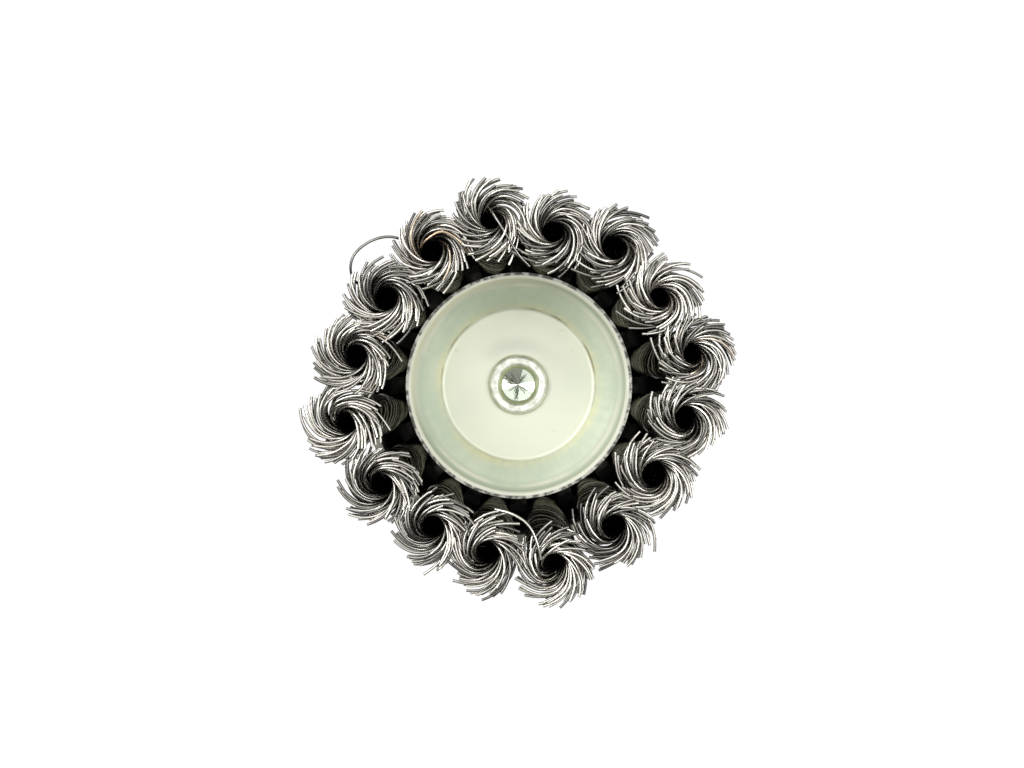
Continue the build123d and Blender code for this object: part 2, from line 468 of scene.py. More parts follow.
def flare_path(turn, fan, middle, leave, mood, chance):
    """Points (across, along, height) of one wire from the funnel's edge to its cut end."""
    drop, reach = FANS[fan][2:]
    phase, sway, stretch = mood
    reach = reach * (1 + stretch * math.sin(2 * turn + phase) + chance.gauss(0, REACH_SPREAD))
    reach, slant, end, tip = arc_of(reach, drop, fan == len(FANS) - 1, chance)
    bend = BEND_SHARE * (middle + reach)
    curl = chance.gauss(CURL, CURL_SPREAD)
    heading = turn - math.pi / 2 + (sway * math.sin(3 * turn - phase) + slant)
    x, y = middle * math.cos(turn), middle * math.sin(turn)
    points = []
    for step in range(FLARE_STEPS + 1):
        share = step / FLARE_STEPS
        climbed = 1 - (1 - min(share * end / CLIMB, 1)) ** 2
        points.append((x, y, leave + (tip - leave) * climbed))
        x += bend * end / FLARE_STEPS * math.cos(heading)
        y += bend * end / FLARE_STEPS * math.sin(heading)
        heading -= end / FLARE_STEPS * (1 + curl * (share - CURL_MIDDLE))
    return points


trial = random.Random(1)
print("points in the flare:", len(flare_path(0.0, 0, 2.0, TIP_TOP - 3, (0.0, 0.0, 0.0), trial)))

# %% [markdown]
# ## One end of a wire
#
# Joined together, the two stretches above are half of a folded wire. The other half is the
# same on the other side of the plate's web, with its own chance values. The whole half could
# be one long function, but in two stretches each can be looked at by itself.


# %% Half of a folded wire
MOST_SWAY = 0.06
MOST_STRETCH = 0.05


def fan_moods(chance):
    """For each fan its own wave: its start, and how far it sways and stretches the wires."""
    return [(chance.uniform(0, 2 * math.pi), chance.uniform(0.0, MOST_SWAY),
             chance.uniform(0.0, MOST_STRETCH)) for _ in FANS]


def leg_path(i, side, opening, chance, moods):
    """Points (across, along, height) of half a wire round its knot's middle."""
    fan = fan_of[i][0]
    leave = TIP_TOP - FANS[fan][1]
    middle = opening + WIRE / 2 + FAN_STEP * fan
    points, turn = rope_path(i, side, middle, leave)
    return points + flare_path(turn, fan, middle, leave, moods[fan], chance)


trial = random.Random(1)
print("points of one leg:", len(leg_path(0, 1, OPENING[0], trial, fan_moods(trial))))

# %% [markdown]
# ## Wires that have sprung loose
#
# A few wires have left their knots: a wide arc between two knots on the left, one straight
# across the hole of the topmost knot, one between the lowest knots, and a coppery one round a
# hole. They give the brush much of its character, so their points are listed one by one, as
# places in the plane of the tips and depths below it. Each starts and ends inside a knot. A
# smooth curve object would do as well, but cut corners need no handles.

# %% Loose wires
# Knot, counted from 0, and points: millimetres to the right, away, and below the tips.
LOOSE = (
    (6, ((-25.9, 16.7, 8.0), (-28.7, 18.1, 4.6), (-29.9, 20.2, 2.9), (-29.4, 23.1, 2.2),
         (-27.1, 25.2, 1.9), (-24.5, 26.3, 1.9), (-21.9, 26.4, 2.2), (-19.3, 25.2, 3.6),
         (-17.6, 23.2, 6.5))),
    (4, ((-6.4, 32.2, 5.2), (-5.7, 31.6, 2.6), (-4.9, 30.6, 0.8), (-2.5, 26.8, -0.1),
         (-0.4, 23.1, 0.3), (1.6, 21.2, 1.2))),
    (11, ((-4.4, -21.3, 1.6), (-1.3, -22.0, 0.3), (1.7, -24.0, -0.1), (3.1, -27.5, 0.2),
          (3.6, -30.1, 0.9))),
    (5, ((-17.6, 23.6, 3.2), (-17.4, 24.9, 1.2), (-15.6, 26.5, 0.3), (-14.0, 27.3, 0.0),
         (-12.3, 26.9, 0.0), (-10.2, 25.2, 0.6), (-9.2, 23.4, 1.6))),
)
COPPERY_KNOT = 5
CORNER_CUTS = 3


def loose_paths(k):
    """Smooth paths of the loose wires of knot k, with their corners cut a few times."""
    paths = []
    for knot, points in LOOSE:
        if knot != k:
            continue
        path = [Vector((x, y, TIP_TOP - depth)) * MM for x, y, depth in points]
        for _ in range(CORNER_CUTS):
            finer = [path[0]]
            for a, b in zip(path, path[1:]):
                finer += [a.lerp(b, 0.25), a.lerp(b, 0.75)]
            path = finer + [path[-1]]
        paths.append(path)
    return paths


print("loose wires:", len(LOOSE))

# %% [markdown]
# ## All wires of one knot
#
# Two halves and the fold between them make one path, worked out round an upright knot that
# stands by itself. Only then is it bent along the knot's bow and tipped a little outwards at
# the flare. Bending straight wires later, with a curve modifier, would squeeze the flare.

# %% Paths of the wires of one knot
PATH_SEED = 100
FOLD_STEPS = 8
FOLD_GAP = 0.1
TILT, TILT_SPREAD = 3, 2


def set_on_bow(k, tilt, x, y, height):
    """The place in the frame, in metres, of a point given round the middle of knot k."""
    reach, angle = knot_middle(k, height)
    lean = tilt * ramp(FLARE_START, TIP_TOP, height)
    outward = reach + x * math.cos(lean)
    place_x = outward * math.cos(angle) - y * math.sin(angle)
    place_y = outward * math.sin(angle) + y * math.cos(angle)
    return Vector((place_x, place_y, height - x * math.sin(lean))) * MM


def knot_paths(k):
    """The paths of all the folded wires of knot k, and of its loose ones."""
    chance = random.Random(PATH_SEED + k)
    tilt = math.radians(TILT + chance.gauss(0, TILT_SPREAD))
    moods = fan_moods(chance)
    paths = []
    for i, (across, along) in enumerate(leg_spots):
        halves = [leg_path(i, side, OPENING[k], chance, moods) for side in (-1, 1)]
        span = HALF_LOOP + across
        fold = []
        for step in range(1, FOLD_STEPS):
            turn = math.pi * step / FOLD_STEPS
            depth = PLATE_BOTTOM + FOLD_GAP - span * math.sin(turn)
            fold.append((-span * math.cos(turn), along, depth))
        whole = halves[0][::-1] + fold + halves[1]
        paths.append([set_on_bow(k, tilt, x, y, height) for x, y, height in whole])
    return paths + loose_paths(k)


print("paths of knot 6:", len(knot_paths(5)))

# %% [markdown]
# ## Painted shade in the twist
#
# The core of the rope, its lower part, most of all on the side that leans on the cup, and the
# wires under the flare lie in shade, and that shade is painted into their colour. The wires are
# thin, so a picture or a pattern laid over them would not find these places. Each corner of their
# mesh therefore gets a number for how deep in painted shade it is, from its place in the knot,
# and the finish reads it.

# %% How black a place is
LOW_PAINTED_SHADE = 0.55
CUP_SIDE_PAINTED_SHADE = 0.25
UNDER_FLARE_PAINTED_SHADE = 0.65
FLARE_SPREAD = 2.6


def fade(start, end, x):
    """1 before start, 0 after end, and a smooth fall between them."""
    return 1 - ramp(start, end, x)


def painted_shade(k, place):
    """Painted shade at a place of knot k: 1 in its dark core and 0 on its outside and its tips."""
    height = place.z / MM
    reach, angle = knot_middle(k, height)
    x = place.x / MM - reach * math.cos(angle)
    y = place.y / MM - reach * math.sin(angle)
    skin = ROPE_RADIUS * swell(height) + FLARE_SPREAD * ramp(FLARE_START + 3, TIP_TOP, height)
    core = fade(skin - 0.9, skin - 0.1, math.hypot(x, y))
    core *= fade(TIP_TOP - 5.5, TIP_TOP - 1.2, height)
    cup_side = fade(-1.5, 1.5, x * math.cos(angle) + y * math.sin(angle))
    low = fade(TIP_TOP - 20, TIP_TOP - 6, height)
    under = fade(TIP_TOP - 4.5, TIP_TOP - 1.0, height)
    return max(core, (LOW_PAINTED_SHADE + CUP_SIDE_PAINTED_SHADE * cup_side) * low, UNDER_FLARE_PAINTED_SHADE * under)


foot_of_knot = Vector((ROOT_RADIUS, 0, PLATE_TOP)) * MM
print("soot at the foot of a knot:", round(painted_shade(0, foot_of_knot), 2))

# %% [markdown]
# ## Round wires with shades of their own
#
# A knot is one curve object with a spline for each wire. Its bevel gives the round wire and
# closed ends, and converting it to a mesh makes it an ordinary piece. Sweeping a circle in edit
# mode would give the same shape, wire by wire. Real wires from one coil differ in how dark and
# how clean they are, so every wire gets its own shade, written on its corners as a colour
# attribute. Each spline has an empty slot of its own until then, which tells the wires apart.

# %% Curves of round wire
LIGHTNESS, LIGHTNESS_SPREAD = 0.45, 0.3
WARM_WIRES, WARMTH = 0.008, 0.45


def wire_curve(name, paths):
    """A curve object of round wires along the paths, each in a slot of its own."""
    curve = bpy.data.curves.new(name, "CURVE")
    curve.dimensions = "3D"
    curve.bevel_depth = WIRE / 2 * MM
    curve.bevel_resolution = 1
    curve.use_fill_caps = True
    for i, path in enumerate(paths):
        spline = curve.splines.new("POLY")
        spline.points.add(len(path) - 1)
        for point, place in zip(spline.points, path):
            point.co = (place.x, place.y, place.z, 1)
        spline.use_smooth = True
        curve.materials.append(None)
        spline.material_index = i
    wires = bpy.data.objects.new(name, curve)
    bpy.context.scene.collection.objects.link(wires)
    return wires


def wire_shades(k, paths, chance):
    """For each wire how light it is, how coppery it is, and two values that aren't used."""
    shades = []
    for _ in paths:
        light = min(max(chance.gauss(LIGHTNESS, LIGHTNESS_SPREAD), 0.0), 1.0)
        warm = WARMTH if chance.random() < WARM_WIRES else 0.0
        shades.append([light, warm, 0.0, 1.0])
    if k == COPPERY_KNOT:
        shades[-1] = [0.6, 1.0, 0.0, 1.0]
    return shades


print("a wire is", WIRE, "mm thick")


# %% Mesh of the wires of one knot
def wires_to_mesh(k, name, paths, finishes, chance):
    """A mesh piece of the wires along the paths; finishes are those of skin and cut ends."""
    wires = wire_curve(name, paths)
    wires.select_set(True)
    bpy.context.view_layer.objects.active = wires
    bpy.ops.object.convert(target="MESH")
    piece = bpy.context.object
    mesh = piece.data
    shades = wire_shades(k, paths, chance)
    colours = []
    for face in mesh.polygons:
        colours.extend(shades[face.material_index] * len(face.vertices))
    shade = mesh.color_attributes.new("wire_shade", "FLOAT_COLOR", "CORNER")
    shade.data.foreach_set("color", colours)
    # Each corner gets how deep in painted shade it lies.
    shade_attribute = mesh.attributes.new("painted_shade", "FLOAT", "POINT")
    shade_attribute.data.foreach_set("value", [painted_shade(k, corner.co) for corner in mesh.vertices])
    mesh.materials.clear()
    for finish in finishes:
        mesh.materials.append(finish)
    for face in mesh.polygons:
        cut = len(face.vertices) > 4
        face.material_index = 1 if cut else 0
        face.use_smooth = not cut
    piece.select_set(False)
    return piece


print("attributes of the wires: wire_shade, soot")

# %% [markdown]
# ## Building finishes from nodes
#
# Drawn wire, zinc plating and blanked steel make up the brush. Each is one metallic shader,
# and all the rest is colour laid over colour through masks, from the plating up to the last
# stain, as a painter glazes. The layers could be painted by hand on each piece, but masks that
# are worked out from places follow when a size changes.


# %% Helpers for finishes
def new_finish(name, metallic):
    """A material with one Principled shader, its node tree and its Object coordinates."""
    finish = bpy.data.materials.new(name)
    finish.use_nodes = True
    tree = finish.node_tree
    shader = tree.nodes["Principled BSDF"]
    shader.inputs["Metallic"].default_value = metallic
    place = tree.nodes.new("ShaderNodeTexCoord").outputs["Object"]
    return finish, tree, shader, place


def cover(tree, colour, mask, over, kind="MIX"):
    """A colour with another one laid over it where the mask is on."""
    node = tree.nodes.new("ShaderNodeMix")
    node.data_type = "RGBA"
    node.blend_type = kind
    first, second = [socket for socket in node.inputs if socket.type == "RGBA"]
    feed(tree, node.inputs[0], mask)
    feed(tree, first, colour)
    feed(tree, second, over)
    return [socket for socket in node.outputs if socket.type == "RGBA"][0]


def bump(tree, shader, height, strength, depth):
    """Small relief for the shader, with its depth in millimetres."""
    node = tree.nodes.new("ShaderNodeBump")
    node.inputs["Strength"].default_value = strength
    node.inputs["Distance"].default_value = depth * MM
    tree.links.new(height, node.inputs["Height"])
    tree.links.new(node.outputs["Normal"], shader.inputs["Normal"])


def noise(tree, place, size, detail):
    """Even noise around 0.5, with a number of features for each unit of the place."""
    node = tree.nodes.new("ShaderNodeTexNoise")
    feed(tree, node.inputs["Vector"], place)
    feed(tree, node.inputs["Scale"], size)
    feed(tree, node.inputs["Detail"], detail)
    return node.outputs["Fac"]


print("helpers for finishes ready")

# %% [markdown]
# ## Effects that the metals share
#
# A pressing carries lines from the die along its wall, a turned nut has lines round its axis,
# and both show where on the part a spot is: deep inside, on the rim, outside. Stains and dull
# patches come back on all of them. So there are three node groups with named inputs. One gives
# the place on a round part, one the lines left by tools, one soft patches. Each metal could
# have its own copy of these nodes, but a group is mended once for all.


# %% Helpers for groups
def new_group(name, inputs, outputs):
    """An empty node group with its named sockets."""
    group = bpy.data.node_groups.new(name, "ShaderNodeTree")
    for label, kind in inputs:
        group.interface.new_socket(label, in_out="INPUT", socket_type="NodeSocket" + kind)
    for label in outputs:
        group.interface.new_socket(label, in_out="OUTPUT", socket_type="NodeSocketFloat")
    given = group.nodes.new("NodeGroupInput").outputs
    gives = group.nodes.new("NodeGroupOutput").inputs
    return group, given, gives


def effect(tree, group, **values):
    """A node group placed in a finish, with its inputs set; gives its outputs."""
    node = tree.nodes.new("ShaderNodeGroup")
    node.node_tree = group
    for label, value in values.items():
        feed(tree, node.inputs[label], value)
    return node.outputs


def vector_calc(tree, operation, first, second=None):
    """The vector or the number from one sum on vectors or links."""
    node = tree.nodes.new("ShaderNodeVectorMath")
    node.operation = operation
    feed(tree, node.inputs[0], first)
    if second is not None:
        feed(tree, node.inputs[1], second)
    return node.outputs["Value"] if operation in ("LENGTH", "DOT_PRODUCT") else node.outputs[0]


print("helpers for groups ready")

# %% [markdown]
# ## Place on a round part
#
# Every piece of the brush but the wires is round about the axis. Where a spot is, is told by
# its distance from the axis, its height and the way its face points: outwards or inwards, up
# or down. The first two come out in millimetres, so that masks are written in the same sizes
# as the part.

# %% Group: place on a round part
PER_METRE = 1000
FLATTEN = (PER_METRE, PER_METRE, 0)

round_place, given, gives = new_group("round_place", (("Place", "Vector"), ("Normal", "Vector")),
                                      ("Radius", "Height", "Outward", "Upward"))
flat = vector_calc(round_place, "MULTIPLY", given["Place"], FLATTEN)
feed(round_place, gives["Radius"], vector_calc(round_place, "LENGTH", flat))
up = axes_of(round_place, given["Place"])[2]
feed(round_place, gives["Height"], calc(round_place, "MULTIPLY", up, PER_METRE))
outward = vector_calc(round_place, "NORMALIZE", flat)
feed(round_place, gives["Outward"], vector_calc(round_place, "DOT_PRODUCT", outward, given["Normal"]))
feed(round_place, gives["Upward"], vector_calc(round_place, "DOT_PRODUCT", given["Normal"], (0, 0, 1)))
print("outputs:", [socket.name for socket in gives if socket.name])

# %% [markdown]
# ## Lines left by tools
#
# A die drags fine lines up a wall as the cup is drawn, and a cutting tool leaves rings as the
# nut turns. Both are noise that is stretched one way: over the direction from the axis and
# hardly over height for the drawn lines, over radius and height alone for the turned ones.
# Stretched noise never shows a seam where it closes round the part, as a picture would.

# %% Group: lines left by tools
SLOW_ALONG = (0, 0, 120)

tool_lines, given, gives = new_group(
    "tool_lines", (("Place", "Vector"), ("Count", "Float"), ("Fineness", "Float")), ("Drawn", "Turned"))
flat = vector_calc(tool_lines, "MULTIPLY", given["Place"], FLATTEN)
wound = tool_lines.nodes.new("ShaderNodeVectorMath")
wound.operation = "SCALE"
feed(tool_lines, wound.inputs[0], vector_calc(tool_lines, "NORMALIZE", flat))
feed(tool_lines, wound.inputs["Scale"], given["Count"])
slow = vector_calc(tool_lines, "MULTIPLY", given["Place"], SLOW_ALONG)
drawn = vector_calc(tool_lines, "ADD", wound.outputs[0], slow)
feed(tool_lines, gives["Drawn"], noise(tool_lines, drawn, 1.0, 4.0))
up = axes_of(tool_lines, given["Place"])[2]
turned = tool_lines.nodes.new("ShaderNodeCombineXYZ")
feed(tool_lines, turned.inputs["X"], vector_calc(tool_lines, "LENGTH", flat))
feed(tool_lines, turned.inputs["Y"], calc(tool_lines, "MULTIPLY", up, PER_METRE))
feed(tool_lines, gives["Turned"], noise(tool_lines, turned.outputs[0], given["Fineness"], 2.0))
print("outputs:", [socket.name for socket in gives if socket.name])

# %% [markdown]
# ## Soft patches
#
# Bloom, stains, rubbed spots and torn metal are all clouds with more or less of an edge. One
# group with a scale and two limits makes each of them: limits that are far apart give a soft
# cloud, and high ones give a few small spots. Spots could be placed one by one, but nobody
# would miss a single one of them.

# %% Group: soft patches
patches, given, gives = new_group(
    "patches", (("Place", "Vector"), ("Scale", "Float"), ("Least", "Float"), ("Most", "Float")), ("Mask",))
cloud = noise(patches, given["Place"], given["Scale"], 5.0)
feed(patches, gives["Mask"], rise(patches, cloud, given["Least"], given["Most"]))
print("node groups:", [group.name for group in bpy.data.node_groups])

# %% [markdown]
# ## Wire finish
#
# Hard drawn wire comes from the die with a dull grey skin and fine lines along it. The knots
# were never used, so only the cut ends are bare bright metal. The colour comes from the shade
# written on each wire, and it darkens where the knot's shade is painted in. The skin is not even:
# dull patches a millimetre or two long break the bright line along a wire. One even grey would
# be quicker, but then the wires of a knot run together.

# %% Wire
DARK_WIRE = (0.19, 0.183, 0.172)
LIGHT_WIRE = (0.94, 0.905, 0.825)
COPPER = (0.66, 0.5, 0.34)
SCALE_TINT = (0.5, 0.47, 0.42)
DULL_SHINE = (0.45, 0.43, 0.4)
UNSHADED, DEEPEST_SHADE = 1.0, 0.07

wire_finish, tree, shader, place = new_finish("drawn_wire", 1.0)
shades = tree.nodes.new("ShaderNodeVertexColor")
shades.layer_name = "wire_shade"
parts = tree.nodes.new("ShaderNodeSeparateColor")
feed(tree, parts.inputs[0], shades.outputs["Color"])
colour = cover(tree, DARK_WIRE, parts.outputs["Red"], LIGHT_WIRE)
colour = cover(tree, colour, parts.outputs["Green"], COPPER)
dull = effect(tree, patches, Place=place, Scale=350.0, Least=0.5, Most=0.75)["Mask"]
colour = cover(tree, colour, both(tree, dull, 0.4), SCALE_TINT, "MULTIPLY")
# Painted shade: the colour darkens where the corners are marked as lying in shade.
shade_attribute = tree.nodes.new("ShaderNodeAttribute")
shade_attribute.attribute_name = "painted_shade"
unshaded_share = rise(tree, shade_attribute.outputs["Fac"], 0.0, 1.0, UNSHADED, DEEPEST_SHADE)
feed(tree, shader.inputs["Base Color"], cover(tree, colour, 1.0, unshaded_share, "MULTIPLY"))
feed(tree, shader.inputs["Specular Tint"], DULL_SHINE)
feed(tree, shader.inputs["Roughness"], calc(tree, "MULTIPLY_ADD", dull, 0.12, 0.22))
bump(tree, shader, noise(tree, place, 9000.0, 2.0), 0.15, 0.01)
print("finish of the wire:", wire_finish.name)

# %% [markdown]
# ## Cut ends
#
# A trimmed wire ends in a small bright face, part sheared and part torn. It is less than half
# a millimetre across, so two tones are enough. Without it the ends would look melted.

# %% Cut ends of the wires
SHEARED = (0.9, 0.88, 0.82)
TORN = (0.5, 0.48, 0.44)

end_finish, tree, shader, place = new_finish("cut_wire_end", 1.0)
torn = effect(tree, patches, Place=place, Scale=5000.0, Least=0.35, Most=0.7)["Mask"]
feed(tree, shader.inputs["Base Color"], cover(tree, SHEARED, torn, TORN))
feed(tree, shader.inputs["Roughness"], calc(tree, "MULTIPLY_ADD", torn, 0.2, 0.25))
print("finish of the ends:", end_finish.name)

# %% [markdown]
# ## All the knots
#
# The same recipe makes all sixteen knots, each with its own reach, opening and chance values.
# Copies of one knot would be quicker, but sixteen equal knots look stamped. Each takes the
# place of the solid that stands in for it.

# %% Wires of all the knots
SHADE_SEED = 500
for k in range(KNOTS):
    piece = wires_to_mesh(k, f"knot_wires_{k + 1:02d}", knot_paths(k), (wire_finish, end_finish),
                          random.Random(SHADE_SEED + k))
    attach(piece, "root")
    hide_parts(f"wire_knot_{k + 1:02d}")
print("faces in a knot:", len(piece.data.polygons))

# %% [markdown]
# ## Zinc plating
#
# Both cups and the nut are plated with zinc that has a pale yellow-green bloom. A clear mirror
# of a metal would be wrong: the bloom scatters light, so the plating is less than half
# metallic. All three start from this recipe, with its bloom, tool lines and small stains, and
# then get what is their own.

# %% Zinc plating
PALE_BLOOM = (0.84, 0.855, 0.7)
GREY_BLOOM = (0.78, 0.81, 0.68)
STAIN = (0.5, 0.43, 0.26)


def zinc(name):
    """Zinc plating with its bloom, tool lines and stains; gives what a part adds to."""
    finish, tree, shader, place = new_finish(name, 0.4)
    facing = tree.nodes.new("ShaderNodeNewGeometry").outputs["Normal"]
    where = effect(tree, round_place, Place=place, Normal=facing)
    lines = effect(tree, tool_lines, Place=place, Count=14.0, Fineness=6.0)
    bloom = effect(tree, patches, Place=place, Scale=55.0, Least=0.3, Most=0.7)["Mask"]
    stains = effect(tree, patches, Place=place, Scale=420.0, Least=0.66, Most=0.78)["Mask"]
    colour = cover(tree, PALE_BLOOM, bloom, GREY_BLOOM)
    colour = cover(tree, colour, both(tree, stains, 0.35), STAIN)
    return finish, tree, shader, place, where, lines, bloom, colour


print("zinc from", PALE_BLOOM, "to", GREY_BLOOM)

# %% [markdown]
# ## The wall of the inner cup
#
# The wall was stretched in the die, so its plating looks cooler than the floor's, with fine
# lines upwards and broad soft shades round it. It is yellowish near the floor and near the
# rim, where the solution ran together, and darker below the rim and on the far side, where it
# reflects the dark knots. Reflections alone could give the last two, but the light here is too
# soft and even for that, so they are part of the colour.

# %% Inner cup: wall
SHEET = 0.85
RIM_INSIDE = RIM_RADIUS - SHEET
FLOOR_TOP = PLATE_TOP + SHEET
WALL_TINT = (0.84, 0.93, 0.77)
BROAD_SHADE = (0.6, 0.7, 0.58)
YELLOWISH = (0.93, 0.9, 0.6)
BELOW_RIM = (0.45, 0.52, 0.4)
FAR_WALL = (0.5, 0.55, 0.42)
STREAK = (0.6, 0.68, 0.58)

inner_zinc, tree, shader, place, where, lines, bloom, colour = zinc("inner_cup_zinc")
radius, height, outward = where["Radius"], where["Height"], where["Outward"]
to_right, away, _ = axes_of(tree, place)
wall = rise(tree, outward, -0.4, -0.8)
colour = cover(tree, colour, both(tree, wall, 0.6), WALL_TINT)
broad = effect(tree, tool_lines, Place=place, Count=1.4, Fineness=6.0)["Drawn"]
colour = cover(tree, colour, both(tree, wall, rise(tree, broad, 0.4, 0.62, 0.0, 0.4)), BROAD_SHADE)
ends = calc(tree, "MAXIMUM", rise(tree, height, FLOOR_TOP + 1.2, FLOOR_TOP + 3.4, 1.0, 0.0),
            rise(tree, height, RIM_TOP - 3.0, RIM_TOP - 1.0, 0.0, 0.35))
ends = both(tree, ends, rise(tree, broad, 0.65, 0.35, 0.2, 0.8))
colour = cover(tree, colour, both(tree, wall, ends), YELLOWISH)
below_rim = both(tree, rise(tree, height, RIM_TOP - 4.5, RIM_TOP - 1.5),
                 rise(tree, radius, RIM_INSIDE + 0.05, RIM_INSIDE - 0.15),
                 rise(tree, away, 4 * MM, -15 * MM, 0.3, 0.75))
colour = cover(tree, colour, below_rim, BELOW_RIM)
far_wall = both(tree, wall, rise(tree, away, 6 * MM, 17 * MM, 0.0, 0.3))
colour = cover(tree, colour, far_wall, FAR_WALL)
streaks = both(tree, wall, rise(tree, lines["Drawn"], 0.35, 0.7), 0.25)
colour = cover(tree, colour, streaks, STREAK)
feed(tree, shader.inputs["Metallic"], calc(tree, "MULTIPLY_ADD", wall, -0.25, 0.4))
print("wall from", round(FLOOR_TOP, 2), "to", round(RIM_TOP, 2), "mm, rim inside", round(RIM_INSIDE, 2))

# %% [markdown]
# ## The floor of the inner cup
#
# A broken brown line runs in the corner round the floor, strongest on the far side. On the far
# side of the rolled rivet end lies a soft grey halo, a painted shadow, and in the gap under its
# edge a painted shade of the same brown, strongest on the left. The soft light here casts neither
# of them. All three are rings, so the distance from the axis finds them.

# %% Inner cup: floor
FLOOR_RADIUS = 14.1
LIP_RADIUS = 5.4
CORNER_BROWN = (0.36, 0.26, 0.12)
HALO_SHADOW = (0.5, 0.51, 0.46)
GAP_SHADE_BROWN = (0.33, 0.27, 0.13)


def band(tree, value, start, full, fading, gone):
    """1 while the value is between full and fading, and 0 before start and after gone."""
    return both(tree, rise(tree, value, start, full), rise(tree, value, fading, gone, 1.0, 0.0))


corner = band(tree, radius, FLOOR_RADIUS - 0.2, FLOOR_RADIUS + 0.05,
              FLOOR_RADIUS + 0.1, FLOOR_RADIUS + 0.35)
broken = effect(tree, patches, Place=place, Scale=160.0, Least=0.4, Most=0.62)["Mask"]
# A broken brown line in the corner round the floor, stronger on the far side.
corner_brown = both(tree, corner, broken, rise(tree, away, -6 * MM, 5 * MM, 0.15, 0.85))
colour = cover(tree, colour, corner_brown, CORNER_BROWN)
# Painted shadow: a soft grey halo on the far side of the rivet end.
halo_shadow = band(tree, radius, LIP_RADIUS + 0.2, LIP_RADIUS + 1.0, LIP_RADIUS + 1.6, LIP_RADIUS + 4.6)
halo_shadow = both(tree, halo_shadow, rise(tree, away, 3 * MM, 8 * MM, 0.0, 0.35))
colour = cover(tree, colour, halo_shadow, HALO_SHADOW)
# Painted shade: brown in the gap under the rivet end's edge, strongest on the left.
gap_shade = both(tree, rise(tree, radius, LIP_RADIUS + 0.35, LIP_RADIUS),
           calc(tree, "MULTIPLY_ADD", broken, 0.45, 0.45),
           rise(tree, to_right, 4 * MM, -4 * MM, 0.7, 1.1))
colour = cover(tree, colour, gap_shade, GAP_SHADE_BROWN)
print("dried line at", FLOOR_RADIUS, "mm, gap at", LIP_RADIUS, "mm")

# %% [markdown]
# ## The rim of the inner cup
#
# The rim's top is bright inside, and its outer edge is dark with bright specks where the knots
# have rubbed it. Just below, a dark line is painted shade, and a bright ridge, a glint along the
# edge and a cream band on the left far part are painted highlights. These lines could be grooves
# in the mesh, but they are a tenth of a millimetre deep, and only their light and dark shows.

# %% Inner cup: rim
RIM_BRIGHT = (0.86, 0.87, 0.74)
EDGE_DARK = (0.12, 0.115, 0.1)
EDGE_SPECK = (0.66, 0.66, 0.58)
RIM_SHADOW_LINE = (0.42, 0.46, 0.32)
RIDGE_HIGHLIGHT = (1.0, 0.98, 0.8)
GLINT = (1.0, 0.98, 0.86)
FAR_LEFT_HIGHLIGHT = (1.0, 0.97, 0.74)

specks = effect(tree, patches, Place=place, Scale=900.0, Least=0.42, Most=0.62)["Mask"]
edge = rise(tree, radius, RIM_INSIDE + 0.2, RIM_INSIDE + 0.5)
rim_colour = cover(tree, RIM_BRIGHT, edge, cover(tree, EDGE_DARK, specks, EDGE_SPECK))
colour = cover(tree, colour, rise(tree, height, RIM_TOP - 0.12, RIM_TOP - 0.03), rim_colour)
# Painted shade: a dark line in the bend just inside the rim.
bend = both(tree, rise(tree, radius, RIM_INSIDE - 0.9, RIM_INSIDE - 0.6),
            rise(tree, radius, RIM_INSIDE - 0.35, RIM_INSIDE - 0.15, 0.5, 0.0))
colour = cover(tree, colour, bend, RIM_SHADOW_LINE)
# Painted highlight: a bright line along the ridge below the rim.
ridge_highlight = band(tree, radius, RIM_INSIDE - 1.9, RIM_INSIDE - 1.45, RIM_INSIDE - 1.2, RIM_INSIDE - 0.9)
ridge_highlight = both(tree, ridge_highlight, rise(tree, broad, 0.6, 0.4, 0.1, 0.6))
colour = cover(tree, colour, ridge_highlight, RIDGE_HIGHLIGHT)
# Painted highlight: a glint along the rim's inner edge.
glint = band(tree, radius, RIM_INSIDE - 0.3, RIM_INSIDE - 0.15, RIM_INSIDE + 0.1, RIM_INSIDE + 0.2)
colour = cover(tree, colour, both(tree, glint, 0.8), GLINT)
# Painted highlight: a cream band inside the rim on the left far part.
left_far = calc(tree, "SUBTRACT", away, to_right)
far_left_highlight = both(tree, rise(tree, radius, RIM_INSIDE - 1.5, RIM_INSIDE - 0.5),
            rise(tree, left_far, 6 * MM, 22 * MM, 0.0, 0.6),
            rise(tree, height, RIM_TOP - 0.05, RIM_TOP - 0.15))
colour = cover(tree, colour, far_left_highlight, FAR_LEFT_HIGHLIGHT)
print("ridge line at", round(RIM_INSIDE - 1.3, 2), "mm")

# %% [markdown]
# ## The outside of the inner cup
#
# Where the knots touch the cup, its outside lies in deep shade, and that shade is painted black.
# A plain bright outside would shine through between the knots and spoil the dark gaps.

# %% Inner cup: outside
GAP_SHADE_BLACK = (0.04, 0.038, 0.034)


def cup_surface(tree, shader, place, lines, bloom, least, more):
    """Roughness and fine relief of a drawn cup: duller in the bloom and along the lines."""
    rough = calc(tree, "MULTIPLY_ADD", bloom, 0.12, least)
    feed(tree, shader.inputs["Roughness"], calc(tree, "MULTIPLY_ADD", lines["Drawn"], more, rough))
    relief = calc(tree, "ADD", lines["Drawn"], noise(tree, place, 1800.0, 3.0))
    bump(tree, shader, relief, 0.25, 0.03)


def dress(node, finish):
    """Give a solid of the frame its finish, through its own slots."""
    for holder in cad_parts[node].material_slots:
        holder.material = finish


# Painted shade: the cup's outside is black behind the knots.
colour = cover(tree, colour, rise(tree, outward, 0.2, 0.6), GAP_SHADE_BLACK)
feed(tree, shader.inputs["Base Color"], colour)
cup_surface(tree, shader, place, lines, bloom, 0.36, 0.1)
dress("inner_cup", inner_zinc)
print("dressed: inner_cup")

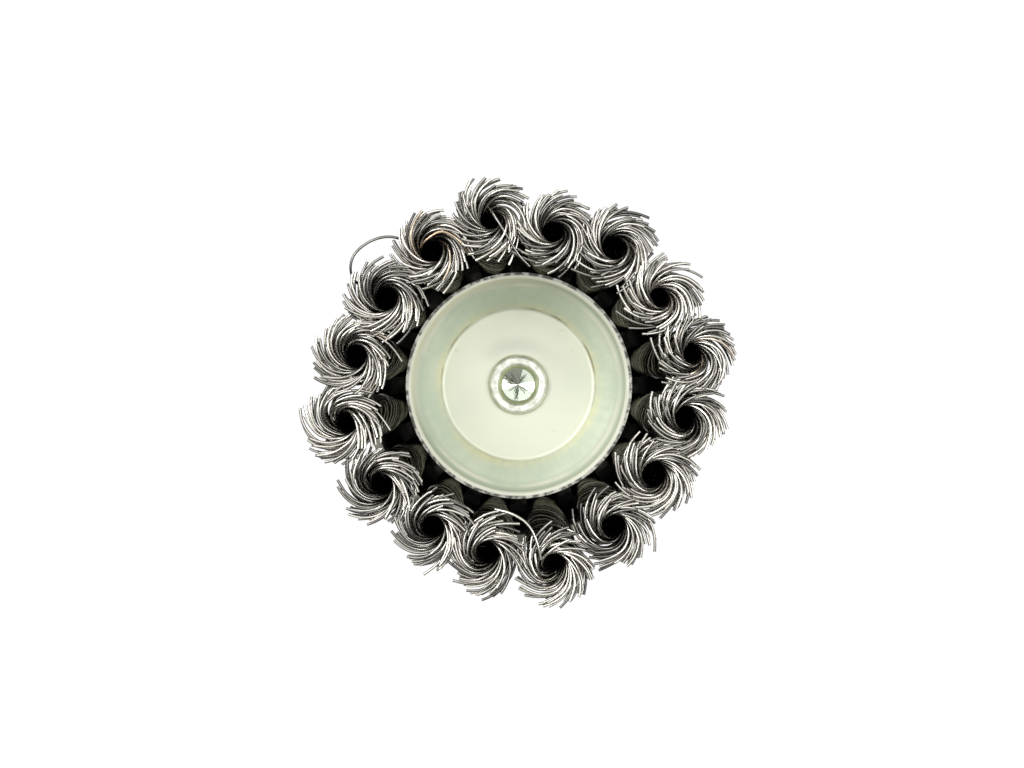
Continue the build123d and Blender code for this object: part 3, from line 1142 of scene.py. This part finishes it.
# %% [markdown]
# ## Finish of the outer cup
#
# The outer cup has the same plating. Its inside and its bottom round the knots lie in shade,
# which is painted black, and the cut edge at its top is dark bare steel. The bright outside needs
# no more than its bloom and its drawn lines. The painted black stops short of the outside by the
# way the faces point, so no seam has to be placed.

# %% Outer cup
OIL_RADIUS = 27.2
EDGE_HEIGHT = 33.0
WALL_RADIUS = 21.0

outer_zinc, tree, shader, place, where, lines, bloom, colour = zinc("outer_cup_zinc")
upwards = rise(tree, where["Upward"], 0.2, 0.6)
inside = both(tree, rise(tree, where["Outward"], -0.2, -0.6),
              rise(tree, where["Radius"], WALL_RADIUS - 1.0, WALL_RADIUS))
bottom = both(tree, upwards, rise(tree, where["Radius"], OIL_RADIUS, OIL_RADIUS - 0.1))
# Painted shade: black on the inside and on the bottom round the knots.
colour = cover(tree, colour, calc(tree, "MAXIMUM", inside, bottom), GAP_SHADE_BLACK)
edge = both(tree, upwards, rise(tree, where["Height"], EDGE_HEIGHT - 0.2, EDGE_HEIGHT, 0.0, 0.8))
feed(tree, shader.inputs["Base Color"], cover(tree, colour, edge, EDGE_DARK))
cup_surface(tree, shader, place, lines, bloom, 0.34, 0.12)
dress("outer_cup", outer_zinc)
print("dressed: outer_cup")

# %% [markdown]
# ## The thread in the nut
#
# The solid has a plain hole at the thread's inner radius. The real hole has an M14 thread with
# a pitch of 2 mm, which shows when the brush lies on its wires. It could be a bump in the
# finish, but a printed or cut copy would then have no thread. So a helical tooth with the
# groove's true section is made with the screw modifier and its two ends are filled, to be cut
# out of a copy of the nut.

# %% Groove of the thread
PITCH = 2.0
THREAD_ANGLE = math.radians(30)
GROOVE_OUTER = 7.0
GROOVE_INNER = 5.82
GROOVE_FLAT = PITCH / 16
GROOVE_OPEN = GROOVE_FLAT + (GROOVE_OUTER - GROOVE_INNER) * math.tan(THREAD_ANGLE)
GROOVE_TURNS = 8
STEPS_ROUND = 48
GROOVE_FOOT = -1.5

section = [(GROOVE_INNER, -GROOVE_OPEN), (GROOVE_OUTER, -GROOVE_FLAT),
           (GROOVE_OUTER, GROOVE_FLAT), (GROOVE_INNER, GROOVE_OPEN)]
bpy.ops.object.select_all(action="DESELECT")
bpy.ops.mesh.primitive_plane_add(size=MM)
groove = bpy.context.object
for corner, (reach, height) in zip((0, 1, 3, 2), section):
    groove.data.vertices[corner].co = (reach * MM, 0, (height + GROOVE_FOOT) * MM)
screw = groove.modifiers.new("turns", "SCREW")
screw.screw_offset = PITCH * MM
screw.iterations = GROOVE_TURNS
screw.steps = screw.render_steps = STEPS_ROUND
screw.use_normal_calculate = True
bpy.ops.object.modifier_apply(modifier="turns")
bpy.ops.object.mode_set(mode="EDIT")
bpy.ops.mesh.select_all(action="SELECT")
bpy.ops.mesh.fill_holes(sides=4)
bpy.ops.object.mode_set(mode="OBJECT")
print("faces of the groove:", len(groove.data.polygons))

# %% [markdown]
# ## The drilled point of the recess
#
# In the rolled rivet end is the mark of a drill: a short round wall and a flat cone, which
# mirrors the knots as spokes. A cone primitive would have no wall, so a cylinder is added and
# the middle corner of its lower end is pulled down to the point. It is joined with the groove,
# and one cut then takes out both.

# %% The drilled point of the recess
POINT_RADIUS = 3.0
POINT_TOP = 23.3
POINT_MOUTH = 22.93
HALF_POINT_ANGLE = math.radians(72)
POINT_DEPTH = POINT_RADIUS / math.tan(HALF_POINT_ANGLE)
RECESS_ABOVE = 21.0

bpy.ops.object.select_all(action="DESELECT")
bpy.ops.mesh.primitive_cylinder_add(
    vertices=64, radius=POINT_RADIUS * MM, depth=(POINT_TOP - POINT_MOUTH) * MM,
    end_fill_type="TRIFAN", location=(0, 0, (POINT_TOP + POINT_MOUTH) / 2 * MM))
drill = bpy.context.object
for corner in drill.data.vertices:
    if corner.co.z < 0 and math.hypot(corner.co.x, corner.co.y) < 0.01 * MM:
        corner.co.z -= POINT_DEPTH * MM
groove.select_set(True)
bpy.ops.object.join()
cutter = bpy.context.object
bpy.ops.object.transform_apply(location=True, rotation=True, scale=True)
bpy.ops.object.mode_set(mode="EDIT")
bpy.ops.mesh.select_all(action="SELECT")
bpy.ops.mesh.normals_make_consistent(inside=False)
bpy.ops.object.mode_set(mode="OBJECT")
print("recess point", round(POINT_DEPTH, 2), "mm deep")

# %% [markdown]
# ## Cutting the nut
#
# The nut from the frame stays as it is, and the cut is made in a copy that takes its place.
# Its mesh is loose triangles, so they are merged first, or the cut would find no solid. A
# Boolean modifier subtracts the cutter exactly. Cutting by hand with bisect would take a cut
# for each face of the groove. The faces of the drilled point stay flat, or they would be
# smoothed into a dull dent.

# %% Copy of the nut, merged
threaded = bpy.data.objects.new("threaded_nut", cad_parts["arbor_nut"].data.copy())
bpy.context.scene.collection.objects.link(threaded)
bpy.ops.object.select_all(action="DESELECT")
threaded.select_set(True)
bpy.context.view_layer.objects.active = threaded
bpy.ops.object.mode_set(mode="EDIT")
bpy.ops.mesh.select_all(action="SELECT")
bpy.ops.mesh.remove_doubles(threshold=0.002 * MM)
bpy.ops.object.mode_set(mode="OBJECT")
bpy.ops.mesh.customdata_custom_splitnormals_clear()
print("faces of the plain nut:", len(threaded.data.polygons))

# %% Cut the thread and the recess
cut = threaded.modifiers.new("thread", "BOOLEAN")
cut.operation = "DIFFERENCE"
cut.solver = "EXACT"
cut.object = cutter
bpy.ops.object.modifier_apply(modifier="thread")
bpy.data.objects.remove(cutter)
bpy.ops.object.shade_smooth_by_angle(angle=math.radians(30))
for face in threaded.data.polygons:
    middle = face.center / MM
    inside_point = math.hypot(middle.x, middle.y) < POINT_RADIUS and middle.z > RECESS_ABOVE
    if inside_point and face.normal.z > 0.8:
        face.use_smooth = False
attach(threaded, "root")
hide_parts("arbor_nut")
print("faces of the nut with its thread:", len(threaded.data.polygons))

# %% [markdown]
# ## Finish of the nut
#
# The nut is turned from hexagon bar and plated like the cups. Its rolled end shines, because
# the tool that rolls it over rubs the plating smooth, and the drilled point is nearly a mirror.
# A greenish ring marks the recess's wall, a brown painted shade lies at the rivet's foot where it
# meets the cup, and the thread is darker. Turned rings would not show on a drawn cup, so only
# this zinc has them in its relief.

# %% Nut zinc: its marks
RUBBED_LIGHT = (0.9, 0.91, 0.82)
RUBBED_DARK = (0.6, 0.62, 0.52)
BORE_GREEN = (0.6, 0.63, 0.39)
FOOT_SHADE_BROWN = (0.25, 0.2, 0.1)
THREAD_DARK = (0.22, 0.21, 0.18)
POINT_TINT = (0.78, 0.84, 0.86)
RECESS_RADIUS = 3.6
THREAD_END = 18.0

nut_zinc, tree, shader, place, where, lines, bloom, colour = zinc("turned_zinc")
radius, height = where["Radius"], where["Height"]
lip = both(tree, rise(tree, radius, LIP_RADIUS + 0.1, LIP_RADIUS),
           rise(tree, height, FLOOR_TOP, FLOOR_TOP + 0.3))
rubbed = effect(tree, patches, Place=place, Scale=700.0, Least=0.4, Most=0.65)["Mask"]
colour = cover(tree, colour, lip, cover(tree, RUBBED_LIGHT, rubbed, RUBBED_DARK))
recess = both(tree, rise(tree, radius, RECESS_RADIUS + 0.15, RECESS_RADIUS),
              rise(tree, height, RECESS_ABOVE, RECESS_ABOVE + 0.2))
bore = both(tree, recess, rise(tree, radius, POINT_RADIUS - 0.05, POINT_RADIUS + 0.1))
colour = cover(tree, colour, both(tree, bore, 0.8), BORE_GREEN)
# Painted shade: brown at the rivet's foot where it meets the cup.
foot_shade = both(tree, rise(tree, radius, LIP_RADIUS - 0.25, LIP_RADIUS - 0.1),
            rise(tree, height, FLOOR_TOP + 0.35, FLOOR_TOP + 0.1),
            rise(tree, height, FLOOR_TOP - 0.5, FLOOR_TOP - 0.4))
colour = cover(tree, colour, both(tree, foot_shade, 0.8), FOOT_SHADE_BROWN)
# The thread is darker.
thread = both(tree, rise(tree, radius, GROOVE_OUTER + 0.1, GROOVE_OUTER),
              rise(tree, height, THREAD_END + 0.5, THREAD_END))
colour = cover(tree, colour, both(tree, thread, 0.7), THREAD_DARK)
point = calc(tree, "SUBTRACT", recess, bore)
feed(tree, shader.inputs["Base Color"], cover(tree, colour, point, POINT_TINT, "MULTIPLY"))
print("recess above", RECESS_ABOVE, "mm, thread up to", THREAD_END, "mm")

# %% Nut zinc: its shine
shine = calc(tree, "MAXIMUM", point, both(tree, lip, 0.45))
feed(tree, shader.inputs["Metallic"], calc(tree, "MULTIPLY_ADD", shine, 0.4, 0.4))
rough = calc(tree, "MULTIPLY_ADD", lines["Turned"], 0.14, 0.3)
smooth = calc(tree, "MULTIPLY_ADD", shine, -0.88, 1.0)
feed(tree, shader.inputs["Roughness"], both(tree, rough, smooth))
bump(tree, shader, both(tree, lines["Turned"], smooth), 0.3, 0.02)
threaded.data.materials.clear()
threaded.data.materials.append(nut_zinc)
print("dressed:", threaded.name)

# %% [markdown]
# ## Finish of the plate
#
# The plate is plain blanked steel, painted near black for the shade between the knots. It hardly
# shows, but a bright plate would spoil the dark gaps beside the rim. The zinc recipe would be too
# bright here, so the plate starts from bare metal.

# %% Plate steel
PLATE_SHADE = (0.09, 0.085, 0.075)
PLATE_DEEPEST_SHADE = (0.03, 0.028, 0.025)

plate_steel, tree, shader, place = new_finish("blanked_steel", 1.0)
shade_patches = effect(tree, patches, Place=place, Scale=300.0, Least=0.3, Most=0.6)["Mask"]
# Painted shade: the plate is near black, in patches of two dark tones.
feed(tree, shader.inputs["Base Color"], cover(tree, PLATE_SHADE, shade_patches, PLATE_DEEPEST_SHADE))
feed(tree, shader.inputs["Roughness"], calc(tree, "MULTIPLY_ADD", shade_patches, 0.2, 0.4))
bump(tree, shader, noise(tree, place, 2500.0, 3.0), 0.3, 0.02)
dress("knot_plate", plate_steel)
print("finishes:", sorted(finish.name for finish in bpy.data.materials))
